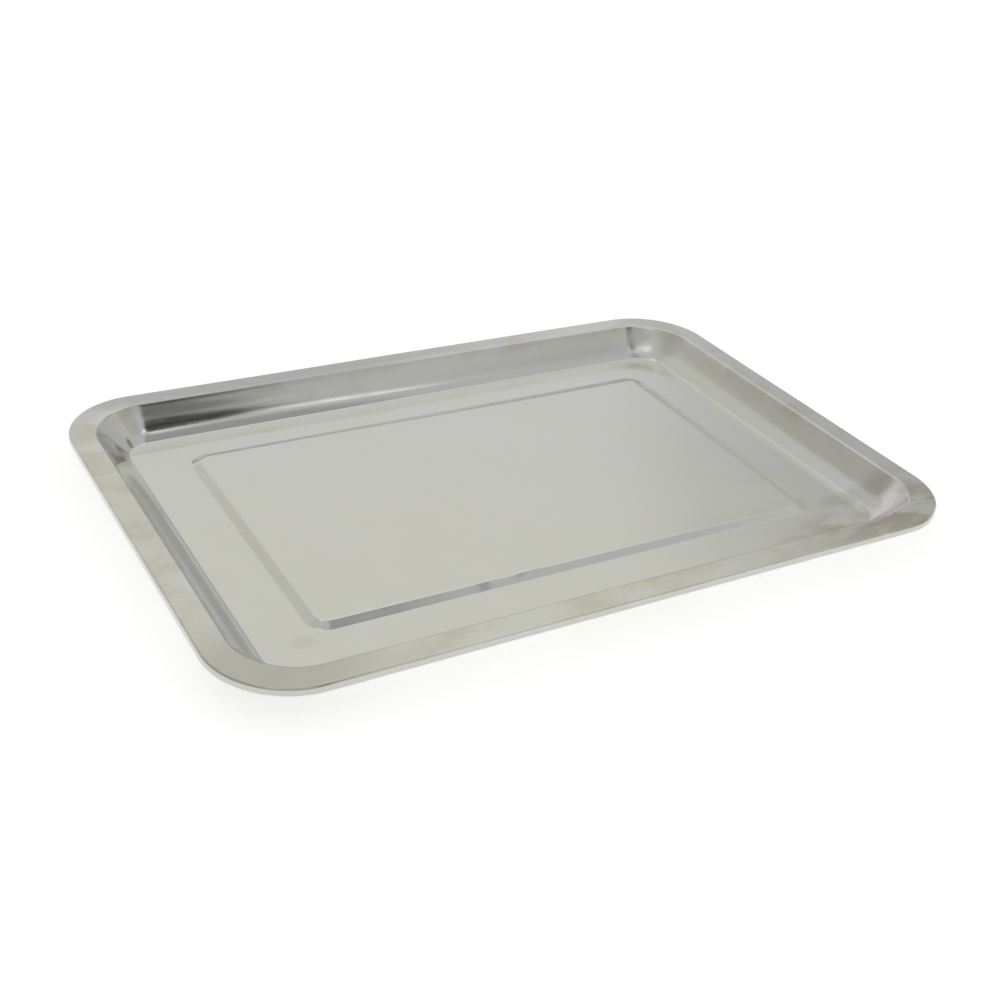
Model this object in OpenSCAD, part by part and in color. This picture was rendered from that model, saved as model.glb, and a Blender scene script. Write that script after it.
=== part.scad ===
// Rectangular pressed-steel tray: one sheet with a flat rim, a turned-down lip,
// slightly hollow sloping walls and a raised panel in the middle of its floor.
// The origin is on the resting surface, under the middle of the tray. +X runs along
// the long side and +Z points up.

/* [Tray] */
// Length over the lip
tray_l = 400; // [320:1:500]
// Width over the lip
tray_w = 278; // [220:1:360]
// Depth from the top of the rim to the floor
depth = 15.6; // [14:0.1:25]
// Thickness of the sheet
sheet_t = 0.6; // [0.4:0.1:0.8]
// Radius of the outer corners
corner_r = 41; // [36:0.5:50]

/* [Rim and lip] */
// Width of the flat rim along the sides
rim_w = 13; // [10:0.5:18]
// Height of the turned-down lip
lip_h = 3.7; // [2.5:0.1:6]
// Outside radius of the bend from the rim into the lip
lip_bend_r = 1.2; // [1:0.1:2]

/* [Wall] */
// Plan radius of the well's corners at the rim
well_corner_r = 32; // [28:0.5:40]
// Steepness of the wall's straight upper part, in degrees
wall_top_angle = 48; // [44:1:60]
// Steepness of the wall where it reaches the floor, in degrees
wall_foot_angle = 30; // [20:1:40]
// Radius of the hollow curve between the two
wall_curve_r = 30; // [20:1:38]
// Radius of the bend from the rim into the wall
wall_bend_r = 2; // [1:0.1:3]
// Radius of the bend from the wall into the floor
foot_bend_r = 2; // [1:0.1:3]

/* [Raised panel] */
// Distance from the ends of the tray to the foot of the panel
panel_end_margin = 56; // [52:0.5:70]
// Distance from the long sides of the tray to the foot of the panel
panel_side_margin = 52.5; // [50:0.5:65]
// Height of the panel above the floor
panel_rise = 2.2; // [0.8:0.1:2.5]
// Steepness of the ramp up to the panel, in degrees
ramp_angle = 24; // [20:1:36]
// Radius of the bends at the ramp's foot and top
ramp_bend_r = 1.5; // [1:0.1:2]
// Plan radius of the panel's corners at the foot of the ramp
panel_corner_r = 11; // [9:0.5:16]

/* [Hidden] */
$fn = 96;

// Levels of the upper surface
rim_top = depth + sheet_t;
floor_top = sheet_t;
panel_top = floor_top + panel_rise;

// Curved stretches of the wall and the ramp are drawn in steps of this many degrees
bend_step = 3;

// The wall, measured outward from the centre of the well's corner. Its hollow curve ends
// tangent to the foot bend, and its straight upper part reaches the rim at well_corner_r.
curve_c_z = floor_top + foot_bend_r + (wall_curve_r - foot_bend_r) * cos(wall_foot_angle);
curve_c_x = well_corner_r - wall_curve_r * sin(wall_top_angle)
    - (rim_top - curve_c_z + wall_curve_r * cos(wall_top_angle)) / tan(wall_top_angle);
foot_x = curve_c_x + (wall_curve_r - foot_bend_r) * sin(wall_foot_angle);

// The flat stretches meet the curved ones a little beyond the bends, on whole or half
// millimetres, so that the neighbouring pieces of sheet join exactly
well_c = rim_w + well_corner_r;
rim_seam = well_corner_r + wall_bend_r;
floor_seam = floor(foot_x - 0.5);
ramp_run = panel_rise / tan(ramp_angle);
ramp_seam = panel_corner_r + ramp_bend_r;
panel_seam = panel_corner_r - ceil(ramp_run + ramp_bend_r / 2);

// A sector of a sheet that is bent about a centre: r_in to r_in + sheet_t, angles a0 to a1
module bent(centre, r_in, a0, a1) {
    far = 3 * (r_in + sheet_t);
    mid = (a0 + a1) / 2;
    translate(centre) intersection() {
        difference() {
            circle(r = r_in + sheet_t);
            circle(r = r_in);
        }
        polygon([[0, 0],
                 far * [cos(a0), sin(a0)],
                 far * [cos(mid), sin(mid)],
                 far * [cos(a1), sin(a1)]]);
    }
}

// Points of an arc from angle a0 to a1
function arc_points(centre, r, a0, a1) =
    let (n = ceil(abs(a1 - a0) / bend_step))
    [for (k = [0:n]) let (a = a0 + (a1 - a0) * k / n) centre + r * [cos(a), sin(a)]];

// One side of a sheet that runs through several bends, at a distance drop below its upper
// side. Each bend is [centre, radius of the upper side, a0, a1, whether its centre is above].
function side(bends, drop) =
    [for (b = bends) each arc_points(b[0], b[1] + (b[4] ? drop : -drop), b[2], b[3])];

// A sheet that runs level from x = x0 to the first bend and from the last bend to x = x1
module run(x0, z0, bends, x1, z1) {
    lower = side(bends, sheet_t);
    polygon(concat([[x0, z0]], side(bends, 0), [[x1, z1], [x1, z1 - sheet_t]],
                   [for (k = [len(lower) - 1:-1:0]) lower[k]], [[x0, z0 - sheet_t]]));
}

// Sweeps a section round a rounded rectangle. The section's x is measured outward from the
// corner centres, which lie at (+-cx, +-cy).
module sweep(cx, cy) {
    for (end = [0, 180]) rotate([0, 0, end]) {
        translate([cx, cy, 0]) rotate_extrude(angle = 90) children();
        translate([-cx, cy, 0]) rotate([0, 0, 90]) rotate_extrude(angle = 90) children();
        translate([cx, cy, 0]) rotate([90, 0, 0]) linear_extrude(2 * cy) children();
        translate([-cx, cy, 0]) rotate([90, 0, 90]) linear_extrude(2 * cx) children();
    }
}

// A rounded rectangle in plan, with its corner centres at (+-cx, +-cy)
module outline(cx, cy, r) {
    square([2 * cx, 2 * (cy + r)], center = true);
    square([2 * (cx + r), 2 * cy], center = true);
    for (x = [-1, 1], y = [-1, 1]) translate([x * cx, y * cy]) circle(r = r);
}

// Skirt and bend of the lip, about the outer corner centre
module lip_section() {
    bend_c = [corner_r - lip_bend_r, rim_top - lip_bend_r];
    bent(bend_c, lip_bend_r - sheet_t, 0, 90);
    translate([corner_r - sheet_t, rim_top - lip_h]) square([sheet_t, lip_h - lip_bend_r]);
}

// Bend from the rim, hollow wall and bend into the floor, about the well's corner centre
module wall_section() {
    bend_c = [well_corner_r + wall_bend_r * tan(wall_top_angle / 2), rim_top - wall_bend_r];
    run(rim_seam, rim_top,
        [[bend_c, wall_bend_r, 90, 90 + wall_top_angle, false],
         [[curve_c_x, curve_c_z], wall_curve_r, wall_top_angle - 90, wall_foot_angle - 90, true],
         [[foot_x, floor_top + foot_bend_r], foot_bend_r, wall_foot_angle - 90, -90, true]],
        floor_seam, floor_top);
}

// Ramp from the floor up to the panel, about the panel's corner centre
module ramp_section() {
    reach = ramp_bend_r * tan(ramp_angle / 2);
    run(ramp_seam, floor_top,
        [[[panel_corner_r + reach, floor_top + ramp_bend_r], ramp_bend_r, -90, -90 - ramp_angle, true],
         [[panel_corner_r - ramp_run - reach, panel_top - ramp_bend_r], ramp_bend_r,
          90 - ramp_angle, 90, false]],
        panel_seam, panel_top);
}

module tray() {
    well_cx = tray_l / 2 - well_c;
    well_cy = tray_w / 2 - well_c;
    panel_cx = tray_l / 2 - panel_end_margin - panel_corner_r;
    panel_cy = tray_w / 2 - panel_side_margin - panel_corner_r;
    color([0.74, 0.74, 0.72]) {
        sweep(tray_l / 2 - corner_r, tray_w / 2 - corner_r) lip_section();
        sweep(well_cx, well_cy) wall_section();
        sweep(panel_cx, panel_cy) ramp_section();
        // flat rim
        translate([0, 0, rim_top - sheet_t]) linear_extrude(sheet_t) difference() {
            outline(tray_l / 2 - corner_r, tray_w / 2 - corner_r, corner_r - lip_bend_r);
            outline(well_cx, well_cy, rim_seam);
        }
        // flat floor round the panel
        linear_extrude(sheet_t) difference() {
            outline(well_cx, well_cy, floor_seam);
            outline(panel_cx, panel_cy, ramp_seam);
        }
        // top of the panel
        translate([0, 0, panel_rise]) linear_extrude(sheet_t)
            outline(panel_cx, panel_cy, panel_seam);
    }
}

tray();
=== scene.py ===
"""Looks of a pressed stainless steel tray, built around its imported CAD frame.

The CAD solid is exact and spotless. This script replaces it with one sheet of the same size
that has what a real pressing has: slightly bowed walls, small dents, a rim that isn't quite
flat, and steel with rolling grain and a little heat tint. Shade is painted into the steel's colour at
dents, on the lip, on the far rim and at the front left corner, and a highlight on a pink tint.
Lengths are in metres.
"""
import math

import bpy
import numpy as np
from mathutils import Matrix, Vector


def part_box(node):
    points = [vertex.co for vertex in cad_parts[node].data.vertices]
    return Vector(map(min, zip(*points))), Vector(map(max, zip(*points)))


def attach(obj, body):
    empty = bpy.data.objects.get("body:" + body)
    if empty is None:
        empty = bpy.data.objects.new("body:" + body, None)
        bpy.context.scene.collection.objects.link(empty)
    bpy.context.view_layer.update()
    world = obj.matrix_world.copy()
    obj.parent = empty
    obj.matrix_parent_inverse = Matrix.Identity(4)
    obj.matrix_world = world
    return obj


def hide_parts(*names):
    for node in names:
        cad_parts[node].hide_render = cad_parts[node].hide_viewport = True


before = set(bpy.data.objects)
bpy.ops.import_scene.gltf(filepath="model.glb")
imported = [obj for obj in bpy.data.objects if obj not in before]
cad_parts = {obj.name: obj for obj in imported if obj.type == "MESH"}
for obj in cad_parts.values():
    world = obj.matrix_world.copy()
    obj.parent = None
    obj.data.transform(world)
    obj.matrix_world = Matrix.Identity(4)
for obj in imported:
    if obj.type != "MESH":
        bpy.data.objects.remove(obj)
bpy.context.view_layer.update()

MM = 0.001

# ---- Sizes of the pressing. The overall box comes from the frame. ----
LOW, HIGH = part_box("tray")
LENGTH, WIDTH, RIM_TOP = HIGH.x - LOW.x, HIGH.y - LOW.y, HIGH.z
SHEET = 0.6 * MM
CORNER_R = 41 * MM
RIM_W = 13 * MM
LIP_H = 3.7 * MM
LIP_BEND_R = 1.2 * MM
WELL_CORNER_R = 32 * MM
WALL_TOP_ANGLE = 48
WALL_FOOT_ANGLE = 30
WALL_CURVE_R = 30 * MM
WALL_BEND_R = 2 * MM
FOOT_BEND_R = 2 * MM
PANEL_END_MARGIN = 56 * MM
PANEL_SIDE_MARGIN = 52.5 * MM
PANEL_RISE = 2.2 * MM
PANEL_CORNER_R = 11 * MM
RAMP_ANGLE = 24
RAMP_BEND_R = 1.5 * MM
PANEL_DROOP_W = 4 * MM       # along the panel's far and right edges
CREST_BEND_R = 3 * MM      # springs back wider than the exact bend

# ---- Mesh density ----
CORNER_STEPS = 20
LONG_STEPS = 96
SHORT_STEPS = 66

# ---- Camera: where the photographer stood ----
CAMERA_AZIMUTH = -31.83
CAMERA_ELEVATION = 30.15
CAMERA_ROLL = 5.0
CAMERA_DISTANCE = 0.7047
CAMERA_TARGET = Vector((-0.0234, -0.0375, RIM_TOP))
LENS_MM = 50.88
SENSOR_MM = 36

# ---- Light: the room's brightness, then patches of it in the order they are laid ----
FLOOR_GLOW = 0.50
BASE_LIGHT = 0.54
SKY_PATCHES = [
    (12, 33, 38, 27, 0, 0.95, 0.70),     # pale backdrop behind the tray
    (42, 4, 27, 15.5, 0, 0.20, 0.45),    # its lower edge, where it meets a table
    (62, 22, 20, 14, 0, 0.90, 0.49),     # dim side of the room at the right
    (88, 10, 14, 10, 0, 0.90, 0.95),     # window low at the right
    (73, 39, 9, 4, 0, 0.50, 0.24),       # dark shelf above it
    (118, 42, 12, 12, 0, 0.90, 0.46),    # and another
    (285, 38, 38, 18, 0, 0.60, 0.44),    # dim corner at the left
    (342, 42, 11, 13, 0, 0.90, 0.59),    # fold in the backdrop
    (42, 59, 15, 13, 0, 0.50, 0.80),     # softbox high behind the tray
    (352, 70, 5, 5, 0, 0.50, 1.35),      # small lamp beside it
    (203, 59.5, 15, 4.5, 0, 0.80, 0.27), # dark doorway behind the camera
    (158, 49.3, 4.8, 4.0, 0, 0.50, 0.17),    # clothes of whoever stands there
    (153.5, 60.5, 6.0, 7.0, -18, 0.15, 0.045), # and their dark hair
    (166, 70.5, 10.5, 3.6, 0, 0.40, 1.00),   # softbox overhead, towards the front
    (222, 71, 11, 4.5, 0, 0.40, 1.35),   # and a brighter one left of it
    (131, 60.5, 4.5, 1.8, 0, 0.70, 1.00), # lamp at the front right
    (96, 74, 13, 7.5, 0, 0.50, 0.36),    # unlit ceiling at the right
    (145, 24, 24, 13, 0, 0.80, 0.86),    # low softbox at the front right
]


# ---------------------------------------------------------------- section of the sheet

def flat(count, start, end):
    """Points from start to end, each (inset_x, inset_y, corner radius, z, normal out, normal up)."""
    steps = np.linspace(0, 1, count)[:, None]
    return list(np.array(start) * (1 - steps) + np.array(end) * steps)


def bend(corner, centre, radius, first, last, count, hollow=False):
    """An arc of the sheet's upper side, from one angle to another in degrees. corner is the
    (x, y) inset of the plan's corner centre, centre is the arc's (distance from it, z)."""
    rows = []
    for angle in np.radians(np.linspace(first, last, count)):
        out, up = math.cos(angle), math.sin(angle)
        plan_r = centre[0] + radius * out
        sign = -1 if hollow else 1
        rows.append(np.array([corner[0] - plan_r, corner[1] - plan_r, plan_r,
                              centre[1] + radius * up, sign * out, sign * up]))
    return rows


def level(count, start, end):
    """A flat stretch, with its first and last rows close to the bends beside it."""
    rows = flat(count, start, end)
    span = np.abs(end - start).max()
    share = min(0.2 * MM / span, 0.4)
    return [rows[0] + (rows[-1] - rows[0]) * share] + rows[1:-1] + \
           [rows[-1] + (rows[0] - rows[-1]) * share]


def section_rows():
    """The sheet's upper side from the lip's lower edge to the top of the panel."""
    top_angle, foot_angle = math.radians(WALL_TOP_ANGLE), math.radians(WALL_FOOT_ANGLE)

    # lip: skirt, then its bend into the rim
    rows = []
    for z in np.linspace(RIM_TOP - LIP_H, RIM_TOP - LIP_BEND_R, 5)[:-1]:
        rows.append(np.array([0, 0, CORNER_R, z, 1, 0]))
    rows += bend((CORNER_R, CORNER_R), (CORNER_R - LIP_BEND_R, RIM_TOP - LIP_BEND_R),
                 LIP_BEND_R, 0, 90, 8)

    # wall: bend from the rim, straight upper part, hollow curve and bend into the floor
    corner = (RIM_W + WELL_CORNER_R, RIM_W + WELL_CORNER_R)
    reach = WALL_BEND_R * math.tan(top_angle / 2)
    wall = bend(corner, (WELL_CORNER_R + reach, RIM_TOP - WALL_BEND_R), WALL_BEND_R,
                90, 90 + WALL_TOP_ANGLE, 8)
    curve_z = SHEET + FOOT_BEND_R + (WALL_CURVE_R - FOOT_BEND_R) * math.cos(foot_angle)
    drop = RIM_TOP - curve_z + WALL_CURVE_R * math.cos(top_angle)
    curve_x = WELL_CORNER_R - WALL_CURVE_R * math.sin(top_angle) - drop / math.tan(top_angle)
    foot_x = curve_x + (WALL_CURVE_R - FOOT_BEND_R) * math.sin(foot_angle)
    curve = bend(corner, (curve_x, curve_z), WALL_CURVE_R, WALL_TOP_ANGLE - 90,
                 WALL_FOOT_ANGLE - 90, 12, hollow=True)
    foot = bend(corner, (foot_x, SHEET + FOOT_BEND_R), FOOT_BEND_R, WALL_FOOT_ANGLE - 90,
                -90, 9, hollow=True)

    # ramp: bend from the floor, slope and bend to the panel's top
    corner = (PANEL_END_MARGIN + PANEL_CORNER_R, PANEL_SIDE_MARGIN + PANEL_CORNER_R)
    reach = RAMP_BEND_R * math.tan(math.radians(RAMP_ANGLE) / 2)
    crest_reach = CREST_BEND_R * math.tan(math.radians(RAMP_ANGLE) / 2)
    run = PANEL_RISE / math.tan(math.radians(RAMP_ANGLE))
    ramp = bend(corner, (PANEL_CORNER_R + reach, SHEET + RAMP_BEND_R), RAMP_BEND_R,
                -90, -90 - RAMP_ANGLE, 7, hollow=True)
    crest = bend(corner, (PANEL_CORNER_R - run - crest_reach, SHEET + PANEL_RISE - CREST_BEND_R),
                 CREST_BEND_R, 90 - RAMP_ANGLE, 90, 9)

    rows += level(9, rows[-1], wall[0]) + wall
    rows += level(8, wall[-1], curve[0]) + curve + foot[1:]
    rows += level(12, foot[-1], ramp[0]) + ramp
    rows += level(5, ramp[-1], crest[0]) + crest
    inner = crest[-1] + np.array([1, 1, -1, 0, 0, 0]) * PANEL_DROOP_W
    rows += flat(4, crest[-1], inner)[1:]
    return np.array(rows)


# ---------------------------------------------------------------- rings and the sheet's mesh

def ring(row, drop):
    """The points of one section row, swept round the tray, moved drop below the upper side."""
    inset_x, inset_y, plan_r, z, out, up = row
    inset_x, inset_y = inset_x + drop * out, inset_y + drop * out
    plan_r, z = plan_r - drop * out, z - drop * up
    centre_x = LENGTH / 2 - inset_x - plan_r
    centre_y = WIDTH / 2 - inset_y - plan_r
    points = []
    corners = ((1, 1, 0), (-1, 1, 90), (-1, -1, 180), (1, -1, 270))
    for sx, sy, start in corners:
        centre = np.array([sx * centre_x, sy * centre_y])
        for angle in np.radians(np.linspace(start, start + 90, CORNER_STEPS + 1)):
            points.append(centre + plan_r * np.array([math.cos(angle), math.sin(angle)]))
        # the straight side that leads to the next corner
        nx, ny, nstart = corners[(start // 90 + 1) % 4]
        turn = math.radians(nstart)
        target = np.array([nx * centre_x, ny * centre_y])
        target = target + plan_r * np.array([math.cos(turn), math.sin(turn)])
        count = LONG_STEPS if start in (0, 180) and sx != nx else SHORT_STEPS
        here = points[-1]
        for step in range(1, count):
            points.append(here + (target - here) * step / count)
    points = np.array(points)
    return np.column_stack([points, np.full(len(points), z)])


def panel_grid(row, drop):
    """The flat top of the panel: a grid between the corner centres of its outermost ring."""
    inset_x, inset_y, plan_r, z, out, up = row
    centre_x = LENGTH / 2 - inset_x - plan_r
    centre_y = WIDTH / 2 - inset_y - plan_r
    xs = np.linspace(-centre_x, centre_x, LONG_STEPS + 1)
    ys = np.linspace(-centre_y, centre_y, SHORT_STEPS + 1)
    gx, gy = np.meshgrid(xs, ys, indexing="ij")
    return np.column_stack([gx.ravel(), gy.ravel(), np.full(gx.size, z - drop)])


def panel_faces(first_of_ring, first_of_grid, ring_size):
    """Faces between a ring and the grid inside it, and the grid's own faces."""
    def g(i, j):
        return first_of_grid + i * (SHORT_STEPS + 1) + j

    def r(k):
        return first_of_ring + k % ring_size

    faces = [(g(i, j), g(i + 1, j), g(i + 1, j + 1), g(i, j + 1))
             for i in range(LONG_STEPS) for j in range(SHORT_STEPS)]
    # walk the ring: a fan at each corner, then a strip along each side
    edge_x = [g(LONG_STEPS - i, SHORT_STEPS) for i in range(LONG_STEPS + 1)]
    edge_left = [g(0, SHORT_STEPS - j) for j in range(SHORT_STEPS + 1)]
    edge_near = [g(i, 0) for i in range(LONG_STEPS + 1)]
    edge_right = [g(LONG_STEPS, j) for j in range(SHORT_STEPS + 1)]
    k = 0
    for side in (edge_x, edge_left, edge_near, edge_right):
        for _ in range(CORNER_STEPS):
            faces.append((r(k), r(k + 1), side[0]))
            k += 1
        for i in range(len(side) - 1):
            faces.append((r(k), r(k + 1), side[i + 1], side[i]))
            k += 1
    return faces


def hump(x, y, at, spread, height):
    """A smooth round bump, height tall and about spread across each way."""
    return height * np.exp(-((x - at[0]) / spread[0]) ** 2 - ((y - at[1]) / spread[1]) ** 2)


def inset(x, y):
    """How far points are inside the tray's outline, seen from above."""
    qx = np.abs(x) - (LENGTH / 2 - CORNER_R)
    qy = np.abs(y) - (WIDTH / 2 - CORNER_R)
    outside = np.hypot(np.maximum(qx, 0), np.maximum(qy, 0))
    return CORNER_R - outside - np.minimum(np.maximum(qx, qy), 0)


def pressed_shape(p):
    """Small departures of a real pressing from the exact solid, as a change in height."""
    x, y, z = p[:, 0], p[:, 1], p[:, 2]
    dz = np.zeros(len(p))
    edge = inset(x, y)
    on_floor = 1 - np.clip((z - 3 * MM) / (4 * MM), 0, 1)
    on_rim = np.clip((z - 0.7 * RIM_TOP) / (0.3 * RIM_TOP), 0, 1) * (edge < 18 * MM)

    # the walls spring back a little between their two bends
    up_wall = np.clip((z - 4 * MM) / (RIM_TOP - 5.2 * MM), 0, 1)
    dz -= 0.22 * MM * np.sin(math.pi * up_wall) ** 2 * (edge > 8 * MM)

    # the rim waves gently along each side and is never higher than the exact one
    wave = np.sin(x / 0.037 + 0.8) * np.sin(y / 0.041 + 1.9) + 0.6 * np.sin((x - y) / 0.019)
    dz -= on_rim * 0.07 * MM * (1.6 + wave)
    # it also droops towards the lip, most of all at the front left corner
    droop = 0.30 * MM + hump(x, y, (-0.19, -0.13), (0.06, 0.05), 0.35 * MM)
    dz -= droop * np.clip((RIM_W - edge) / RIM_W, 0, 1)
    # the floor isn't dead flat either; it never goes below the surface it rests on
    roll = np.sin(x / 0.052 + 0.5) * np.cos(y / 0.047) + 0.5 * np.sin((x + 1.3 * y) / 0.031)
    dz += on_floor * 0.045 * MM * (1.5 + roll) * np.clip(edge / (40 * MM), 0, 1)

    # the panel sags along its far and right edges, and is shallow at its front right corner
    raised = np.clip((z - SHEET) / PANEL_RISE, 0, 1) * (edge > 35 * MM)
    past_x = x - (LENGTH / 2 - PANEL_END_MARGIN - 8 * MM)
    past_y = y - (WIDTH / 2 - PANEL_SIDE_MARGIN - 8 * MM)
    past = np.clip(np.maximum(past_x, past_y) / PANEL_DROOP_W, 0, 1)
    dz -= raised * 0.42 * MM * past
    dz -= raised * hump(x, y, (0.142, -0.085), (0.068, 0.022), 1.2 * MM)

    # dents: two on the front ramp of the panel, one by the front left corner, some at the right
    dz += on_floor * hump(x, y, (-0.052, -0.083), (0.005, 0.004), 0.35 * MM)
    dz += on_floor * hump(x, y, (-0.031, -0.081), (0.006, 0.004), 0.45 * MM)
    dz += on_floor * hump(x, y, (-0.147, -0.096), (0.006, 0.004), 0.10 * MM)
    for at, height in (((0.160, -0.094), 0.16), ((0.152, -0.099), 0.12), ((0.167, -0.088), 0.14)):
        dz += on_floor * hump(x, y, at, (0.006, 0.003), height * MM)
    return dz


def make_sheet():
    """The whole tray: upper side, underside and the rounded edge of the lip, as quads."""
    rows = section_rows()
    edge_round = SHEET / 2
    lip = rows[0]
    edge_rows = []
    # half-round bare edge at the bottom of the lip, from the inner face to the outer one
    for angle in np.radians(np.linspace(180, 360, 7))[1:-1]:
        out, down = math.cos(angle), math.sin(angle)
        shift = edge_round * (out - 1)
        edge_rows.append((np.array([lip[0] - shift, lip[1] - shift, lip[2] + shift,
                                    lip[3] + edge_round * (1 + down), 1, 0]), 0))
    rings = [(row, SHEET) for row in rows[::-1]]
    rings[-1] = (rows[0] + np.array([0, 0, 0, edge_round, 0, 0]), SHEET)
    rings += edge_rows
    top = [(row, 0) for row in rows]
    top[0] = (rows[0] + np.array([0, 0, 0, edge_round, 0, 0]), 0)
    rings += top

    parts = [ring(row, drop) for row, drop in rings]
    ring_size = len(parts[0])
    faces = []
    for k in range(len(parts) - 1):
        a, b = k * ring_size, (k + 1) * ring_size
        for i in range(ring_size):
            j = (i + 1) % ring_size
            faces.append((a + i, a + j, b + j, b + i))
    grid_low = len(parts) * ring_size
    low = panel_grid(rows[-1], SHEET)
    high = panel_grid(rows[-1], 0)
    grid_high = grid_low + len(low)
    faces += [face[::-1] for face in panel_faces(0, grid_low, ring_size)]
    faces += panel_faces((len(parts) - 1) * ring_size, grid_high, ring_size)

    points = np.vstack(parts + [low, high])
    points[:, 2] += pressed_shape(points)
    mesh = bpy.data.meshes.new("tray_sheet")
    mesh.from_pydata(points.tolist(), [], faces)
    mesh.validate()
    mesh.shade_smooth()
    mesh.update()
    sheet = bpy.data.objects.new("tray_sheet", mesh)
    bpy.context.scene.collection.objects.link(sheet)
    return sheet


# ---------------------------------------------------------------- node helpers

def add(tree, kind, inputs=None, **properties):
    """Adds a node. inputs maps a socket's name or number to a value or to an output socket."""
    node = tree.nodes.new(kind)
    for name, value in properties.items():
        setattr(node, name, value)
    for name, value in (inputs or {}).items():
        if isinstance(value, bpy.types.NodeSocket):
            tree.links.new(value, node.inputs[name])
        else:
            node.inputs[name].default_value = value
    return node


def maths(tree, operation, a, b=0.0, clamp=False):
    return add(tree, "ShaderNodeMath", {0: a, 1: b}, operation=operation, use_clamp=clamp).outputs[0]


def fade(tree, value, low, high, to_low=0.0, to_high=1.0):
    """Smoothly from to_low, where value is low, to to_high, where it is high."""
    node = add(tree, "ShaderNodeMapRange", {0: value, 1: low, 2: high, 3: to_low, 4: to_high},
               interpolation_type="SMOOTHSTEP")
    return node.outputs[0]


# ---------------------------------------------------------------- steel

def noise(tree, place, scale, detail=4.0, stretch=(1, 1, 1), warp=0.0):
    """Cloudy noise between 0 and 1. stretch multiplies the coordinates first."""
    wide = add(tree, "ShaderNodeVectorMath", {0: place, 1: stretch}, operation="MULTIPLY")
    node = add(tree, "ShaderNodeTexNoise", {"Vector": wide.outputs[0], "Scale": scale,
                                            "Detail": detail, "Roughness": 0.6, "Distortion": warp})
    return node.outputs["Fac"]


def spot(tree, place, centre, radii):
    """A soft mask: 1 near centre, falling to 0 at the ellipsoid with those radii, in mm."""
    offset = add(tree, "ShaderNodeVectorMath", {0: place, 1: [v * MM for v in centre]},
                 operation="SUBTRACT").outputs[0]
    scaled = add(tree, "ShaderNodeVectorMath", {0: offset, 1: [1 / (v * MM) for v in radii]},
                 operation="MULTIPLY").outputs[0]
    away = add(tree, "ShaderNodeVectorMath", {0: scaled}, operation="LENGTH").outputs["Value"]
    return fade(tree, away, 1.0, 0.25)


def blend(tree, colour, other, factor):
    """Mixes a colour socket or value with another by factor."""
    node = add(tree, "ShaderNodeMix", data_type="RGBA")
    for socket, value in zip((node.inputs[0], node.inputs[6], node.inputs[7]),
                             (factor, colour, other)):
        if isinstance(value, bpy.types.NodeSocket):
            tree.links.new(value, socket)
        else:
            socket.default_value = value
    return node.outputs[2]


def steel_colour(tree, place):
    """Plain stainless with cloudy patches, a dull greenish-brown blotchy rim and heat tints at one
    corner, with painted shade on the far rim, the lip, the front left corner and at dents, and a
    painted highlight in the pink tint.
    """
    clouds = fade(tree, noise(tree, place, 22.0), 0.35, 0.65)
    colour = blend(tree, (0.775, 0.777, 0.720, 1), (0.775, 0.778, 0.745, 1), clouds)

    # blotches along the top, where it is handled: a dull greenish brown
    height = add(tree, "ShaderNodeSeparateXYZ", {0: place}).outputs["Z"]
    high = fade(tree, height, RIM_TOP - 7 * MM, RIM_TOP - 1 * MM)
    blotch = fade(tree, noise(tree, place, 24.0, 4.0, (0.8, 1.3, 1), 0.3), 0.42, 0.66)
    colour = blend(tree, colour, (0.67, 0.665, 0.58, 1), maths(tree, "MULTIPLY", high, blotch))

    # painted shade: the rim and lip are darkened around the front left corner
    front_left_shade = spot(tree, place, (-182, -124, 16), (75, 55, 12))
    colour = blend(tree, colour, (0.55, 0.55, 0.48, 1), maths(tree, "MULTIPLY", front_left_shade, 0.75))

    # painted shade: the far side of the rim is darkened
    far_rim_shade = spot(tree, place, (-80, 133, 16), (200, 13, 8))
    colour = blend(tree, colour, (0.54, 0.54, 0.515, 1), maths(tree, "MULTIPLY", far_rim_shade, 0.9))

    normal = add(tree, "ShaderNodeNewGeometry").outputs["Normal"]
    facing = add(tree, "ShaderNodeSeparateXYZ", {0: normal}).outputs["Z"]
    upper = fade(tree, facing, 0.0, 0.4)

    # brown and pink heat tint near the front right corner, on the upper side only. The pink spots are
    # lighter than the steel: pink tint with a painted highlight on the corner's bright crescent.
    fleck = fade(tree, noise(tree, place, 60.0, 5.0, (0.6, 1.3, 1), 0.2), 0.40, 0.60)
    warm = maths(tree, "MULTIPLY", spot(tree, place, (160, -120, 8), (85, 40, 34)), upper)
    colour = blend(tree, colour, (0.55, 0.515, 0.435, 1), maths(tree, "MULTIPLY", warm, fleck))
    # pink heat tint, painted lighter as a highlight
    pink_tint_and_highlight = maths(tree, "MAXIMUM", spot(tree, place, (174, -112, 8), (14, 12, 14)),
                 spot(tree, place, (150, -100, 1), (14, 6, 9)))
    pink_tint_and_highlight = maths(tree, "MULTIPLY", pink_tint_and_highlight, upper)
    colour = blend(tree, colour, (0.86, 0.76, 0.76, 1), maths(tree, "MULTIPLY", pink_tint_and_highlight, 0.7))

    # painted shade where shallow dents dim the steel's reflection: on the right wall near that
    # corner, on the floor and on the front left corner
    # painted shade of dents, darkening the steel
    faint_dent_shade = maths(tree, "MULTIPLY", spot(tree, place, (-151, -90, 1), (10, 6, 9)), 0.45)
    dent_shade = maths(tree, "MAXIMUM", spot(tree, place, (181, -90, 9), (13, 12, 13)), faint_dent_shade)
    dent_shade = maths(tree, "MAXIMUM", dent_shade, spot(tree, place, (165, -84, 1), (24, 9, 9)))
    colour = blend(tree, colour, (0.56, 0.56, 0.52, 1), maths(tree, "MULTIPLY", dent_shade, 0.55))

    # painted shade: surfaces facing sideways, mainly the outer lip, are darkened
    sideways_shade = fade(tree, maths(tree, "ABSOLUTE", facing), 0.45, 0.1)
    return blend(tree, colour, (0.57, 0.57, 0.54, 1), maths(tree, "MULTIPLY", sideways_shade, 0.9))


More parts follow.
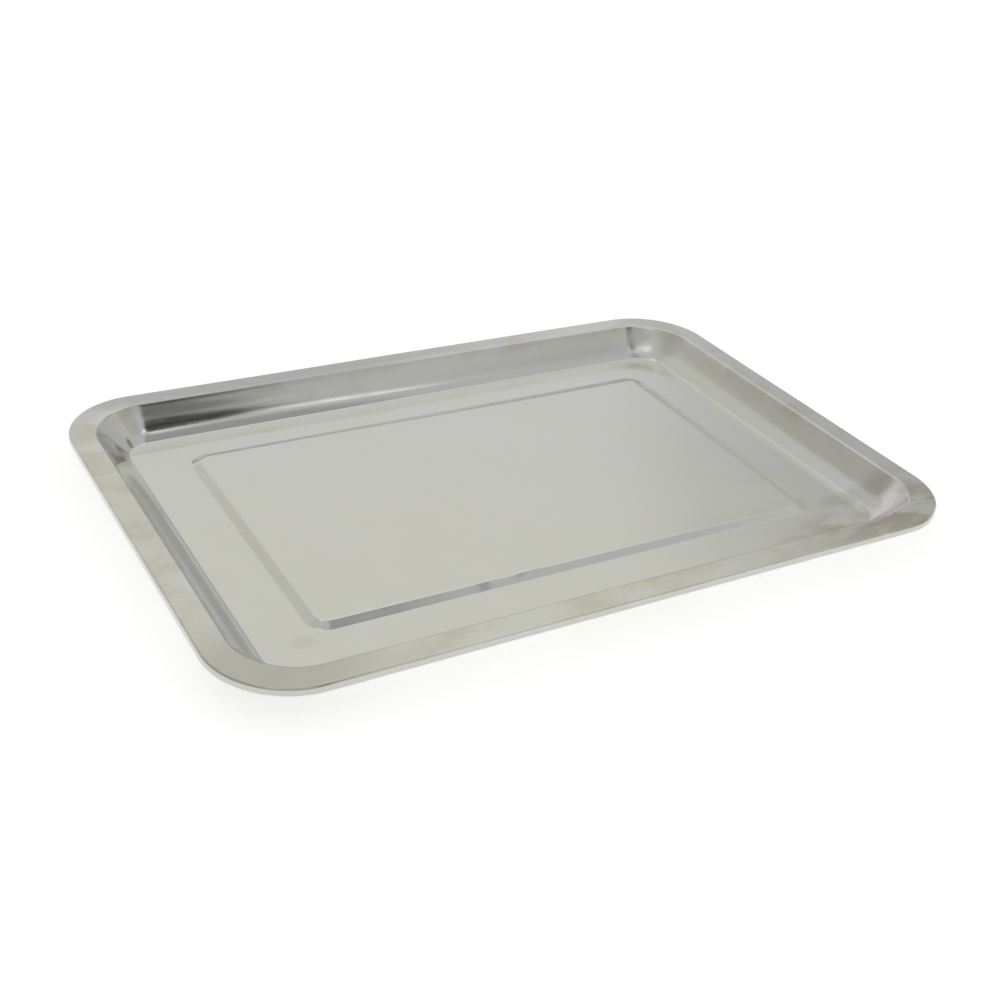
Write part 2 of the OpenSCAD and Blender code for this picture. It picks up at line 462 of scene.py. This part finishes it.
def steel_roughness(tree, place):
    """Rolling grain along the sheet, duller where hands have been and where it was stretched."""
    grain = noise(tree, place, 60.0, 3.0, (1, 14, 1))
    hands = fade(tree, noise(tree, place, 26.0, 5.0, warp=1.2), 0.50, 0.72)
    rough = fade(tree, grain, 0.3, 0.7, 0.085, 0.125)
    rough = maths(tree, "ADD", rough, maths(tree, "MULTIPLY", hands, 0.05))
    stretched = maths(tree, "MAXIMUM", spot(tree, place, (166, 110, 9), (34, 30, 14)),
                      spot(tree, place, (-174, -112, 9), (28, 28, 14)))
    return maths(tree, "ADD", rough, maths(tree, "MULTIPLY", stretched, 0.16))


def make_steel():
    material = bpy.data.materials.new("stainless_steel")
    material.use_nodes = True
    tree = material.node_tree
    shader = tree.nodes["Principled BSDF"]
    place = add(tree, "ShaderNodeTexCoord").outputs["Object"]
    tree.links.new(steel_colour(tree, place), shader.inputs["Base Color"])
    tree.links.new(steel_roughness(tree, place), shader.inputs["Roughness"])
    shader.inputs["Metallic"].default_value = 1.0
    return material


# ---------------------------------------------------------------- studio

def make_floor():
    material = bpy.data.materials.new("pale_floor")
    material.use_nodes = True
    shader = material.node_tree.nodes["Principled BSDF"]
    shader.inputs["Base Color"].default_value = (0.93, 0.93, 0.93, 1)
    shader.inputs["Roughness"].default_value = 0.9
    shader.inputs["Specular IOR Level"].default_value = 0.0
    shader.inputs["Emission Color"].default_value = (1, 1, 1, 1)
    shader.inputs["Emission Strength"].default_value = FLOOR_GLOW
    bpy.ops.mesh.primitive_plane_add(size=30)
    floor = bpy.context.object
    floor.name = "studio_floor"
    floor.data.materials.append(material)


def aim(azimuth, elevation):
    """A unit vector: azimuth in degrees from +Y towards +X, elevation above the horizon."""
    azimuth, elevation = math.radians(azimuth), math.radians(elevation)
    level = math.cos(elevation)
    return Vector((level * math.sin(azimuth), level * math.cos(azimuth), math.sin(elevation)))


def make_world():
    """Soft studio light as a function of direction: a dim room with softboxes and dark cards.
    Each patch is (azimuth, elevation, half width, half height, tilt, soft edge, brightness)."""
    world = bpy.data.worlds.new("studio")
    bpy.context.scene.world = world
    world.use_nodes = True
    tree = world.node_tree
    direction = add(tree, "ShaderNodeTexCoord").outputs["Generated"]

    def along(axis):
        node = add(tree, "ShaderNodeVectorMath", {0: direction, 1: axis}, operation="DOT_PRODUCT")
        return node.outputs["Value"]

    def patch(total, azimuth, elevation, half_width, half_height, tilt, edge, brightness):
        """Fades total to brightness inside a soft-edged oval of the sky. Angles in degrees."""
        centre = aim(azimuth, elevation)
        turn = Matrix.Rotation(math.radians(tilt), 3, centre)
        across = turn @ centre.cross(Vector((0, 0, 1))).normalized()
        up = across.cross(centre)
        ahead = maths(tree, "MAXIMUM", along(centre), 0.05)
        u = maths(tree, "DIVIDE", along(across), ahead)
        v = maths(tree, "DIVIDE", along(up), ahead)
        u = maths(tree, "DIVIDE", u, math.tan(math.radians(half_width)))
        v = maths(tree, "DIVIDE", v, math.tan(math.radians(half_height)))
        u = maths(tree, "POWER", maths(tree, "ABSOLUTE", u), 2.5)
        v = maths(tree, "POWER", maths(tree, "ABSOLUTE", v), 2.5)
        inside = fade(tree, maths(tree, "ADD", u, v), 1 + edge, 1 - edge)
        mix = add(tree, "ShaderNodeMix", {0: inside, 2: total, 3: brightness}, data_type="FLOAT")
        return mix.outputs[0]

    total = BASE_LIGHT
    for one in SKY_PATCHES:
        total = patch(total, *one)
    background = tree.nodes["Background"]
    tree.links.new(total, background.inputs["Strength"])
    # the backdrop is a little warmer halfway up
    height = along((0, 0, 1))
    warmth = fade(tree, height, math.sin(math.radians(26)), math.sin(math.radians(33)))
    cooler = fade(tree, height, math.sin(math.radians(48)), math.sin(math.radians(40)))
    tint = blend(tree, (0.985, 0.99, 1, 1), (1, 1, 0.935, 1), maths(tree, "MULTIPLY", warmth, cooler))
    tree.links.new(tint, background.inputs["Color"])


def make_camera():
    azimuth, elevation = math.radians(CAMERA_AZIMUTH), math.radians(CAMERA_ELEVATION)
    back = Vector((math.sin(azimuth) * math.cos(elevation),
                   -math.cos(azimuth) * math.cos(elevation), math.sin(elevation)))
    data = bpy.data.cameras.new("camera")
    data.lens = LENS_MM
    data.sensor_width = SENSOR_MM
    camera = bpy.data.objects.new("camera", data)
    bpy.context.scene.collection.objects.link(camera)
    roll = Matrix.Rotation(math.radians(CAMERA_ROLL), 4, "Z")
    camera.matrix_world = (Matrix.Translation(CAMERA_TARGET + back * CAMERA_DISTANCE)
                           @ back.to_track_quat("Z", "Y").to_matrix().to_4x4() @ roll)
    bpy.context.scene.camera = camera


tray = make_sheet()
tray.data.materials.append(make_steel())
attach(tray, "root")
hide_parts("tray")
make_floor()
make_world()
make_camera()
bpy.context.scene.view_settings.view_transform = "Standard"
